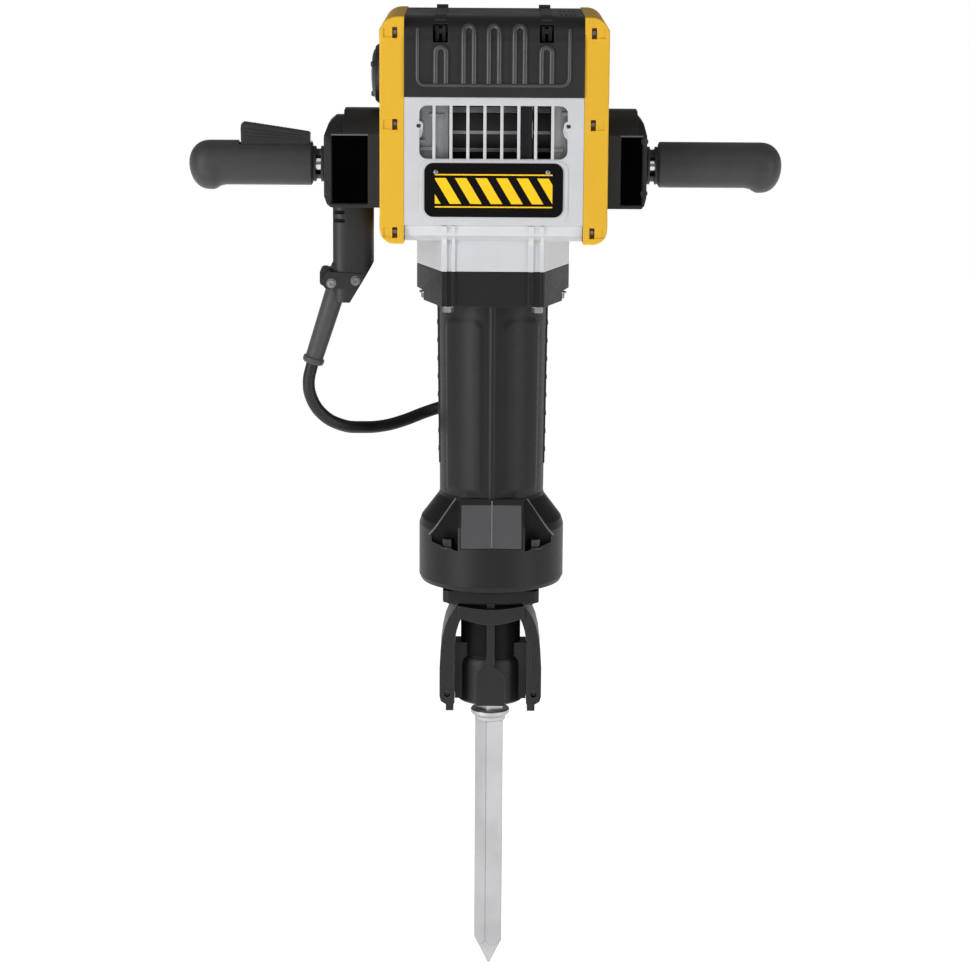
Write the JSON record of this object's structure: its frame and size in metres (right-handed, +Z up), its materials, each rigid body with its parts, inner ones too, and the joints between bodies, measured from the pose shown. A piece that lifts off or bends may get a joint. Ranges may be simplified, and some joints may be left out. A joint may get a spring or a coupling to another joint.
{
  "type": "demolition hammer",
  "caption": "Upright electric demolition hammer with two side handles, a barrel, a swinging tool retainer, a hexagonal moil point and a corded supply.",
  "frame": {"origin": "the point on the line through the two grips that lies over the barrel's axis, where two hands hold the tool", "axes": "+Z up along the barrel, -Y towards the front of the tool, +X towards the right handle"},
  "size_m": [0.6369, 0.248, 1.0698],
  "materials": {
    "yellow_nylon": "moulded, fine spark-eroded grain",
    "black_nylon": "moulded, satin",
    "cast_silver": "sand cast, bead blasted",
    "black_steel": "black powder coat",
    "ground_steel": "turned and ground",
    "forged_steel": "forged and ground hexagon bar",
    "copper": "wound and varnished copper",
    "soft_rubber": "soft moulded rubber",
    "plate_black": "printed plate, satin"
  },
  "bodies": {
    "housing": {"crankcase_casting": "cast_silver", "left_side_cover": "yellow_nylon", "right_side_cover": "yellow_nylon", "top_hood": "black_nylon", "motor_end_cap": "black_nylon", "name_plate": "plate_black", "barrel_collar": "black_steel", "barrel_tube": "black_steel", "nose_bell": "black_steel", "nose_flange": "black_steel", "tool_holder": "black_steel", "hex_liner": "ground_steel", "cylinder": "ground_steel", "beat_guide": "ground_steel", "bearing_plate": "cast_silver", "crank_bearing": "ground_steel", "counter_bearing": "ground_steel", "motor_bearing": "ground_steel", "field_stator": "black_steel", "front_brush": "black_nylon", "rear_brush": "black_nylon", "air_shroud": "black_nylon", "left_bracket": "black_nylon", "right_bracket": "black_nylon", "left_pivot_pin": "ground_steel", "right_pivot_pin": "ground_steel", "cord_housing": "black_nylon", "cord_clamp": "black_nylon", "strain_relief": "soft_rubber", "cord_lead": "soft_rubber", "cord_hank": "soft_rubber", "cord_tie": "soft_rubber", "cord_hook": "black_nylon", "plug": "soft_rubber"},
    "crank": {"crankshaft": "ground_steel", "crank_gear": "ground_steel"},
    "counter": {"counter_shaft": "ground_steel", "counter_gear": "ground_steel", "counter_pinion": "ground_steel"},
    "armature": {"armature_shaft": "ground_steel", "armature_core": "copper", "commutator": "copper", "fan": "black_nylon", "motor_pinion": "ground_steel"},
    "piston": {"piston": "ground_steel", "wrist_pin": "ground_steel"},
    "rod": {"connecting_rod": "ground_steel"},
    "ram": {"ram": "ground_steel"},
    "beat": {"beat_piece": "ground_steel"},
    "chisel": {"chisel": "forged_steel"},
    "retainer": {"retainer_yoke": "black_steel", "retaining_pin": "ground_steel"},
    "left_handle": {"left_arm": "ground_steel", "left_neck": "ground_steel", "left_grip": "soft_rubber"},
    "right_handle": {"right_arm": "ground_steel", "right_neck": "ground_steel", "right_grip": "soft_rubber"},
    "lever": {"switch_lever": "black_nylon"}
  },
  "joints": [
    {"name": "crank_spin", "type": "hinge", "parent": "housing", "child": "crank", "pos_m": [0.034, 0, 0.005], "axis": [1, 0, 0], "continuous": true},
    {"name": "counter_spin", "type": "hinge", "parent": "housing", "child": "counter", "pos_m": [0.034, 0.00964, 0.05202], "axis": [1, 0, 0], "continuous": true},
    {"name": "armature_spin", "type": "hinge", "parent": "housing", "child": "armature", "pos_m": [0.034, 0, 0.097], "axis": [1, 0, 0], "continuous": true},
    {"name": "piston_slide", "type": "slide", "parent": "housing", "child": "piston", "axis": [0, 0, -1], "range_m": [0, 0.056]},
    {"name": "rod_swing", "type": "hinge", "parent": "piston", "child": "rod", "pos_m": [0, 0, -0.087], "axis": [1, 0, 0], "range_deg": [-13.6, 13.6]},
    {"name": "ram_slide", "type": "slide", "parent": "housing", "child": "ram", "axis": [0, 0, -1], "range_m": [-0.06, 0.0131]},
    {"name": "chisel_slide", "type": "slide", "parent": "housing", "child": "chisel", "axis": [0, 0, 1], "range_m": [0, 0.0112]},
    {"name": "beat_slide", "type": "slide", "parent": "housing", "child": "beat", "axis": [0, 0, 1], "range_m": [0, 0.0112]},
    {"name": "retainer_swing", "type": "hinge", "parent": "housing", "child": "retainer", "pos_m": [0, 0.018, -0.5855], "axis": [1, 0, 0], "range_deg": [0, 115]},
    {"name": "left_handle_pivot", "type": "hinge", "parent": "housing", "child": "left_handle", "pos_m": [-0.1418, 0, 0], "axis": [0, 1, 0], "range_deg": [-3, 3], "stiffness_Nm_per_rad": 420},
    {"name": "right_handle_pivot", "type": "hinge", "parent": "housing", "child": "right_handle", "pos_m": [0.1418, 0, 0], "axis": [0, 1, 0], "range_deg": [-3, 3], "stiffness_Nm_per_rad": 420},
    {"name": "switch_lever_press", "type": "hinge", "parent": "left_handle", "child": "lever", "pos_m": [-0.2, 0, 0.0198], "axis": [0, -1, 0], "range_deg": [0, 4.6], "stiffness_Nm_per_rad": 6, "springref_deg": -2.86}
  ],
  "couplings": [
    {"joint": "counter_spin", "follows": "crank_spin", "ratio": -3.8},
    {"joint": "armature_spin", "follows": "crank_spin", "ratio": 13.68},
    {"joint": "beat_slide", "follows": "chisel_slide", "ratio": 1}
  ]
}
